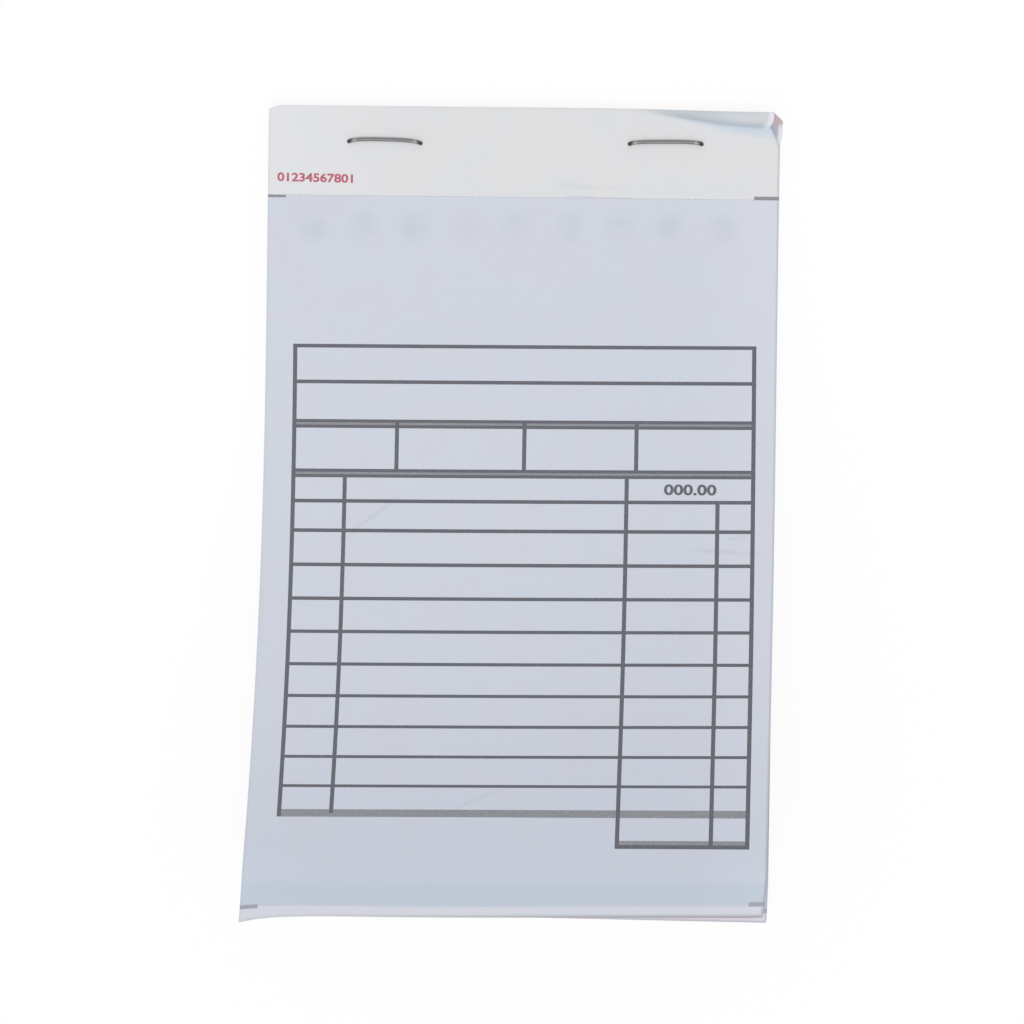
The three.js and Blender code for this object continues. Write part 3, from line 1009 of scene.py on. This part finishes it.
def wire_steel():
    """Drawn stitching wire: dull, with fine streaks along it, with a painted glint on its shoulders and
    painted shade where it goes down into the paper."""
    material, tree, shader = new_material("stitching wire", 0.5, 0.5)
    shader.inputs["Metallic"].default_value = 1.0
    wrap = node(tree, "ShaderNodeUVMap", uv_map="wire").outputs[0]
    streaks = noise(tree, stretched(tree, wrap, (3.0, 60.0, 1.0)), 4.0, 4.0)
    leg_shade, shoulder_glint = carried(tree, "leg_shade", "shoulder_glint")
    colour = mixed(tree, streaks.between(0.35, 0.65), srgb(118, 119, 120), srgb(140, 141, 141))
    # Painted glint on the shoulders, and painted shade where the wire goes down into the paper
    colour = mixed(tree, shoulder_glint * 0.5, colour, srgb(188, 188, 186))
    put(tree, mixed(tree, leg_shade, colour, srgb(78, 78, 80)), shader.inputs["Base Color"])
    put(tree, streaks.between(0.3, 0.7, 0.58, 0.7), shader.inputs["Roughness"])
    add_bump(tree, shader, streaks, 0.25, 0.01)
    return material


def grey_card():
    """Unlined board of waste paper: cloudy, flecked with fibres, in plies at its edges."""
    material, tree, shader = new_material("grey card", 0.9)
    place = node(tree, "ShaderNodeTexCoord").outputs["Object"]
    clouds = noise(tree, place, 90.0, 5.0, 0.6)
    flecks = noise(tree, stretched(tree, place, (1.0, 5.0, 1.0), 0.7), 900.0, 2.0)
    layers = noise(tree, stretched(tree, place, (40.0, 40.0, 5200.0)), 1.0, 2.0)
    colour = mixed(tree, clouds.between(0.35, 0.65), srgb(176, 164, 142), srgb(190, 178, 156))
    colour = mixed(tree, layers.between(0.4, 0.6) * 0.35, colour, srgb(150, 138, 118))
    colour = mixed(tree, flecks.between(0.63, 0.7) * 0.7, colour, srgb(120, 108, 92))
    colour = mixed(tree, flecks.between(0.36, 0.3) * 0.5, colour, srgb(212, 204, 188))
    put(tree, colour, shader.inputs["Base Color"])
    add_bump(tree, shader, flecks * 0.6 + layers * 0.4, 0.4, 0.05)
    return material


# The sheets


def sheet_name(index):
    return f"{'original' if index % 2 == 0 else 'copy'}_{index // 2 + 1:02d}"


def make_sheets():
    """All sheets, from the uppermost down. Each one is whole and bends at its perforation."""
    papers = {"original": (original_paper(), carbon_coat()), "copy": (copy_paper(), copy_paper())}
    prints = (ink("form ink", srgb(99, 99, 107), srgb(125, 125, 133)),
              ink("number ink", srgb(184, 92, 111), srgb(207, 142, 156)),
              ink("pale ink", srgb(140, 140, 148), srgb(166, 166, 174)),
              ink("faint ink", srgb(164, 165, 178), srgb(184, 185, 197)))
    tool = cutters()
    fine = punched(flat_sheet("fine sheet", FINE_STEP), tool)
    coarse = punched(flat_sheet("coarse sheet", COARSE_STEP), tool)
    curl = curl_tree()
    for index in range(SHEETS):
        name = sheet_name(index)
        face, reverse = papers[name.split("_")[0]]
        mesh = sheet_mesh(fine if index < CURLED else coarse, index, (face, reverse, *prints))
        piece = new_object(f"{name}_sheet", mesh)
        add_tree(piece, curl, {
            "Slant": CURL_SLANT, "Start": CURL_START * MM, "Arc": CURL_ARC * MM,
            "Radius": CURL_RADIUS * MM / curl_share(index), "Head": HEAD * MM,
            "Fade From": PERFORATION * MM, "Fade Over": CURL_FADE * MM})
        take_result(piece, name)
        piece.data.shade_smooth()
        piece.data.set_sharp_from_angle(angle=math.radians(35))
        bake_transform(piece)
        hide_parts(f"{name}_stub", f"{name}_leaf")
    for left in (tool, fine, coarse):
        bpy.data.objects.remove(left)


# The stitches


def stitch_path(stitch):
    """The middle of a stitch's wire, from one clinched end over the crown to the other."""
    middle, from_head, tilt = crown_middle(stitch)
    crown = HINGE.z + CROWN_CLEARANCE + WIRE / 2
    clinch = CLINCH_CLEARANCE + WIRE / 2
    half = CROWN_SPAN / 2
    corners = [(-half + CLINCH_LENGTH, clinch), (-half, clinch), (-half, crown),
               (half, crown), (half, clinch), (half - CLINCH_LENGTH, clinch)]
    path = [np.array(corners[0])]
    for before, at, after in zip(corners, corners[1:], corners[2:]):
        before, at, after = np.array(before), np.array(at), np.array(after)
        enter = at + WIRE_BEND * (before - at) / np.linalg.norm(before - at)
        leave = at + WIRE_BEND * (after - at) / np.linalg.norm(after - at)
        if np.linalg.norm(enter - path[-1]) > LONG_WIRE:
            path += list(np.linspace(path[-1], enter, LONG_STEPS)[1:-1])
        for t in np.linspace(0, 1, BEND_STEPS):
            path.append((1 - t) ** 2 * enter + 2 * t * (1 - t) * at + t * t * leave)
    path.append(np.array(corners[-1]))
    along, height = np.array(path).T
    raised = np.clip((height - crown + WIRE_BEND) / WIRE_BEND, 0, 1)
    bow = raised * STITCHES[stitch][-1] * (1 - (along / half) ** 4)
    cosine, sine = math.cos(math.radians(tilt)), math.sin(math.radians(tilt))
    x = middle + along * cosine - bow * sine
    y = HEAD - from_head + along * sine + bow * cosine
    return np.stack([x, y, height], axis=-1) * MM


def wire_tree():
    """A round wire along a path, with closed ends."""
    inputs = {"Geometry": ("NodeSocketGeometry", None), "Radius": ("NodeSocketFloat", 0.0),
              "Sides": ("NodeSocketInt", 20), "Material": ("NodeSocketMaterial", None)}
    tree, given, result = new_group("Wire", "GeometryNodeTree", inputs, GEOMETRY)
    ring = node(tree, "GeometryNodeCurvePrimitiveCircle",
                {"Resolution": given.outputs["Sides"], "Radius": given.outputs["Radius"]})
    factor = node(tree, "GeometryNodeSplineParameter").outputs["Factor"]
    along = node(tree, "GeometryNodeStoreNamedAttribute",
                 {"Geometry": given.outputs["Geometry"], "Name": "along", "Value": factor},
                 data_type="FLOAT", domain="POINT")
    wire = node(tree, "GeometryNodeCurveToMesh",
                {"Curve": along.outputs[0], "Profile Curve": ring.outputs[0], "Fill Caps": True})
    return end_tree(tree, wire.outputs[0], given.outputs["Material"], result)


def make_stitches():
    steel = wire_steel()
    tree = wire_tree()
    for name in STITCHES:
        path = stitch_path(name)
        curve = bpy.data.curves.new(name, "CURVE")
        curve.dimensions = "3D"
        spline = curve.splines.new("POLY")
        spline.points.add(len(path) - 1)
        for point, place in zip(spline.points, path):
            point.co = (*place, 1)
        route = new_object(f"{name}_route", curve)
        add_tree(route, tree, {"Radius": WIRE / 2 * MM, "Material": steel})
        mesh = plain_mesh(route)
        bpy.data.objects.remove(route)
        add_wire_light(mesh, name)
        wire = new_object(f"{name}_wire", mesh)
        mesh.shade_smooth()
        mesh.set_sharp_from_angle(angle=math.radians(40))
        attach(wire, "root")
        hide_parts(name)


def add_wire_light(mesh, name):
    """Marks the wire's ends, which are painted in shade, and its shoulders, which carry a painted glint,
    and maps it along and round.
    """
    middle, from_head, _ = crown_middle(name)
    points = np.array([vert.co for vert in mesh.vertices]) / MM
    from_leg = CROWN_SPAN / 2 - np.abs(points[:, 0] - middle)
    painted_light = smooth((from_leg - SHOULDER_FROM) / SHOULDER_RISE)
    painted_light = painted_light * smooth((SHOULDER_TO - from_leg) / SHOULDER_FALL)
    add_share(mesh, "leg_shade", smooth((LEG_SHADE_TO - from_leg) / LEG_SHADE_EASE))
    add_share(mesh, "shoulder_glint", painted_light)
    along = np.zeros(len(mesh.vertices), dtype=np.float32)
    mesh.attributes["along"].data.foreach_get("value", along)
    turn = np.arctan2(points[:, 2] - HINGE.z, points[:, 1] - HEAD + from_head) / math.tau
    add_map(mesh, "wire", np.stack([along, turn], axis=-1))


def make_board():
    """The backing card: its CAD solid, with the head worn as that of the sheets is."""
    shape = bmesh.new()
    shape.from_mesh(frame["nodes"]["backing_board"].data)
    bmesh.ops.remove_doubles(shape, verts=shape.verts, dist=1e-7)
    for side, wide, deep in BOARD_WEAR:
        everything = shape.verts[:] + shape.edges[:] + shape.faces[:]
        start = Vector((side * (SIDE - wide), HEAD, 0)) * MM
        outwards = Vector((side * deep, wide, 0))
        cut = bmesh.ops.bisect_plane(shape, geom=everything, plane_co=start, plane_no=outwards,
                                     clear_outer=True)
        rim = [edge for edge in cut["geom_cut"] if isinstance(edge, bmesh.types.BMEdge)]
        bmesh.ops.edgenet_fill(shape, edges=rim)
    bmesh.ops.recalc_face_normals(shape, faces=shape.faces)
    board = new_object("backing_card", bpy.data.meshes.new("backing_card"))
    shape.to_mesh(board.data)
    shape.free()
    board.data.shade_flat()
    board.data.materials.append(grey_card())
    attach(board, "root")
    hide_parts("backing_board")


# Camera, light and floor, at the photograph's view


PICTURE_SIDE = 1024
CAMERA_DISTANCE = 603
FOCAL_PIXELS = 5.134 * CAMERA_DISTANCE
SENSOR = 36
VIEW_TILT = (1.29, -2.32, -0.89)
VIEW_SHIFT = (-1.15, 1.39)
VIEW_ORIGIN = (0, -1.25, 3.84)
SKY = 0.6
LAMP_SHARE = 0.4
LAMP_LEAN = 20
SHADOW_SHARE = 0.12
LAMP_SPREAD = 35
FLOOR_HALF, FLOOR_DROP, FLOOR_TONE = 2000, 0.02, 0.9

# The floor's opening under the pad, which the card covers: its right, foot and head edge
FLOOR_OPENING = (SIDE - 0.5, BOARD_LOW.y + 0.5, HEAD - 1.9)


def make_camera():
    x, y, z = (math.radians(angle) for angle in VIEW_TILT)
    turn = Matrix.Rotation(y, 3, "Y") @ Matrix.Rotation(x, 3, "X") @ Matrix.Rotation(z, 3, "Z")
    back = turn.transposed()
    lens = bpy.data.cameras.new("camera")
    lens.sensor_width = SENSOR
    lens.lens = FOCAL_PIXELS / PICTURE_SIDE * SENSOR
    camera = new_object("camera", lens)
    place = back @ Vector((*VIEW_SHIFT, CAMERA_DISTANCE)) + Vector(VIEW_ORIGIN)
    camera.matrix_world = Matrix.Translation(place * MM) @ back.to_4x4()
    bpy.context.scene.camera = camera


def light_path(tree):
    """1 for rays from the camera, and for what metal and glass show."""
    path = node(tree, "ShaderNodeLightPath")
    camera, glossy, through = (Formula(tree, path.outputs[f"Is {kind} Ray"])
                               for kind in ("Camera", "Glossy", "Transmission"))
    return camera.most(glossy).most(through)


def make_light():
    world = bpy.data.worlds.new("studio")
    bpy.context.scene.world = world
    world.use_nodes = True
    tree = world.node_tree
    put(tree, light_path(tree).between(0.0, 1.0, SKY, 1.0), tree.nodes["Background"].inputs["Strength"])
    tree.nodes["Background"].inputs["Color"].default_value = (1, 1, 1, 1)
    lamp = bpy.data.lights.new("soft lamp", "SUN")
    lamp.energy = math.pi * LAMP_SHARE / math.cos(math.radians(LAMP_LEAN))
    lamp.angle = math.radians(LAMP_SPREAD)
    holder = new_object("soft lamp", lamp)
    holder.matrix_world = Matrix.Rotation(math.radians(LAMP_LEAN), 4, "X")


def make_floor():
    """A plain floor, open under the pad, so that the card is seen and lit from below as well."""
    mesh = bpy.data.meshes.new("floor")
    right, foot, head = FLOOR_OPENING
    outer = [(x * FLOOR_HALF, y * FLOOR_HALF) for x, y in ((-1, -1), (1, -1), (1, 1), (-1, 1))]
    inner = [(-right, foot), (right, foot), (right, head), (-right, head)]
    borders = [(side, (side + 1) % 4, 4 + (side + 1) % 4, 4 + side) for side in range(4)]
    mesh.from_pydata([(x * MM, y * MM, -FLOOR_DROP * MM) for x, y in outer + inner], [], borders)
    material = bpy.data.materials.new("pale floor")
    material.use_nodes = True
    tree = material.node_tree
    tree.nodes.remove(tree.nodes["Principled BSDF"])
    paint = node(tree, "ShaderNodeBsdfDiffuse", {"Color": (FLOOR_TONE, FLOOR_TONE, FLOOR_TONE, 1)})
    shown = node(tree, "ShaderNodeBsdfDiffuse", {"Color": (1, 1, 1, 1)})
    white = node(tree, "ShaderNodeEmission", {"Color": (1, 1, 1, 1), "Strength": 1.0})
    seen = node(tree, "ShaderNodeMixShader", {0: SHADOW_SHARE, 1: white.outputs[0], 2: shown.outputs[0]})
    both = node(tree, "ShaderNodeMixShader", {0: light_path(tree), 1: paint.outputs[0], 2: seen.outputs[0]})
    tree.links.new(both.outputs[0], tree.nodes["Material Output"].inputs["Surface"])
    mesh.materials.append(material)
    new_object("floor", mesh)


bpy.context.scene.view_settings.view_transform = "Standard"
make_camera()
make_light()
make_floor()
make_sheets()
make_stitches()
make_board()
